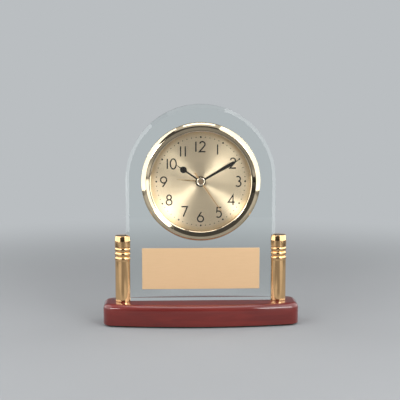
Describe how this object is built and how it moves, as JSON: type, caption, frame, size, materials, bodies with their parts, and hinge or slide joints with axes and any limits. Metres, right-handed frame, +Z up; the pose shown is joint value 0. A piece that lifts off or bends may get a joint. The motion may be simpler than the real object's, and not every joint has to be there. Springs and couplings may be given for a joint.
{
  "type": "desk clock",
  "caption": "Round brass alarm clock insert in an arch-topped glass plate held by two brass columns on a bowed lacquered wood base, with a blank engraving plate.",
  "frame": {"origin": "on the table under the middle of the plinth, at the underside of the felt pad", "axes": "+Z up, -Y towards the viewer who reads the dial, +X to the viewer's right"},
  "size_m": [0.166, 0.047, 0.1873],
  "materials": {
    "rosewood": "high gloss lacquer over dark red-brown rosewood",
    "felt": "dark green felt",
    "polished_brass": "mirror polished and lacquered",
    "satin_brass": "fine satin, blank",
    "gold_dial": "circular brushed, gold anodised, black printing",
    "clear_glass": "clear and polished, bevelled round the front",
    "black_metal": "black enamel",
    "black_plastic": "fine matt moulded",
    "white_plastic": "plain moulded",
    "rubber": "black rubber",
    "steel": "plain steel",
    "magnet": "sintered magnet",
    "copper": "enamelled copper wire",
    "board": "green solder mask"
  },
  "bodies": {
    "clock_body": {"base_plinth": "rosewood", "felt_pad": "felt", "column_left": "polished_brass", "column_right": "polished_brass", "column_screw_left": "steel", "column_screw_right": "steel", "glass_plate": "clear_glass", "engraving_plate": "satin_brass", "bezel": "polished_brass", "lens": "clear_glass", "case_cup": "polished_brass", "hole_gasket": "rubber", "reflector_ring": "polished_brass", "dial": "gold_dial", "movement_front_plate": "white_plastic", "movement_case": "black_plastic", "train_bridge": "white_plastic", "back_cover": "black_plastic", "battery": "steel", "battery_contact_plus": "steel", "battery_contact_minus": "steel", "stator": "steel", "coil_core": "steel", "drive_coil": "copper", "circuit_board": "board", "quartz_crystal": "steel", "buzzer": "polished_brass"},
    "seconds": {"second_wheel": "white_plastic", "second_hand": "polished_brass", "centre_cap": "polished_brass"},
    "minutes": {"centre_wheel": "white_plastic", "minute_hand": "black_metal"},
    "hours": {"hour_wheel": "white_plastic", "hour_hand": "black_metal"},
    "motion_work": {"motion_wheel": "white_plastic"},
    "third": {"third_wheel": "white_plastic"},
    "intermediate": {"intermediate_wheel": "white_plastic"},
    "motor_rotor": {"rotor": "magnet"},
    "time_setting": {"time_set_arbor": "white_plastic", "time_set_knob": "black_plastic"},
    "alarm_time": {"alarm_wheel": "white_plastic", "alarm_hand": "polished_brass"},
    "alarm_setting": {"alarm_set_arbor": "white_plastic", "alarm_set_knob": "black_plastic"},
    "alarm_slider": {"alarm_switch": "white_plastic"},
    "battery_cover": {"battery_door": "black_plastic"}
  },
  "joints": [
    {"name": "second_turn", "type": "hinge", "parent": "clock_body", "child": "seconds", "pos_m": [0, 0, 0.122], "axis": [0, 1, 0], "continuous": true},
    {"name": "minute_turn", "type": "hinge", "parent": "clock_body", "child": "minutes", "pos_m": [0, 0, 0.122], "axis": [0, 1, 0], "continuous": true},
    {"name": "hour_turn", "type": "hinge", "parent": "clock_body", "child": "hours", "pos_m": [0, 0, 0.122], "axis": [0, 1, 0], "continuous": true},
    {"name": "motion_turn", "type": "hinge", "parent": "clock_body", "child": "motion_work", "pos_m": [-0.009, 0, 0.122], "axis": [0, 1, 0], "continuous": true},
    {"name": "third_turn", "type": "hinge", "parent": "clock_body", "child": "third", "pos_m": [-0.00213, 0, 0.13405], "axis": [0, 1, 0], "continuous": true},
    {"name": "intermediate_turn", "type": "hinge", "parent": "clock_body", "child": "intermediate", "pos_m": [0.0109, 0, 0.12829], "axis": [0, 1, 0], "continuous": true},
    {"name": "rotor_turn", "type": "hinge", "parent": "clock_body", "child": "motor_rotor", "pos_m": [0.0146, 0, 0.1347], "axis": [0, 1, 0], "continuous": true},
    {"name": "time_set_turn", "type": "hinge", "parent": "clock_body", "child": "time_setting", "pos_m": [-0.018, 0, 0.122], "axis": [0, 1, 0], "continuous": true},
    {"name": "alarm_turn", "type": "hinge", "parent": "clock_body", "child": "alarm_time", "pos_m": [0, 0, 0.122], "axis": [0, 1, 0], "continuous": true},
    {"name": "alarm_set_turn", "type": "hinge", "parent": "clock_body", "child": "alarm_setting", "pos_m": [0.01269, 0, 0.11608], "axis": [0, 1, 0], "continuous": true},
    {"name": "alarm_switch_slide", "type": "slide", "parent": "clock_body", "child": "alarm_slider", "axis": [1, 0, 0], "range_m": [0, 0.004]},
    {"name": "battery_door_slide", "type": "slide", "parent": "clock_body", "child": "battery_cover", "axis": [0, 1, 0], "range_m": [0, 0.03]}
  ],
  "couplings": [
    {"joint": "minute_turn", "follows": "second_turn", "ratio": 0.016667},
    {"joint": "hour_turn", "follows": "second_turn", "ratio": 0.0013889},
    {"joint": "motion_turn", "follows": "second_turn", "ratio": -0.0055556},
    {"joint": "third_turn", "follows": "second_turn", "ratio": -0.13333},
    {"joint": "intermediate_turn", "follows": "second_turn", "ratio": -7.5},
    {"joint": "rotor_turn", "follows": "second_turn", "ratio": 30},
    {"joint": "time_set_turn", "follows": "second_turn", "ratio": 0.016667},
    {"joint": "alarm_set_turn", "follows": "alarm_turn", "ratio": -1}
  ]
}
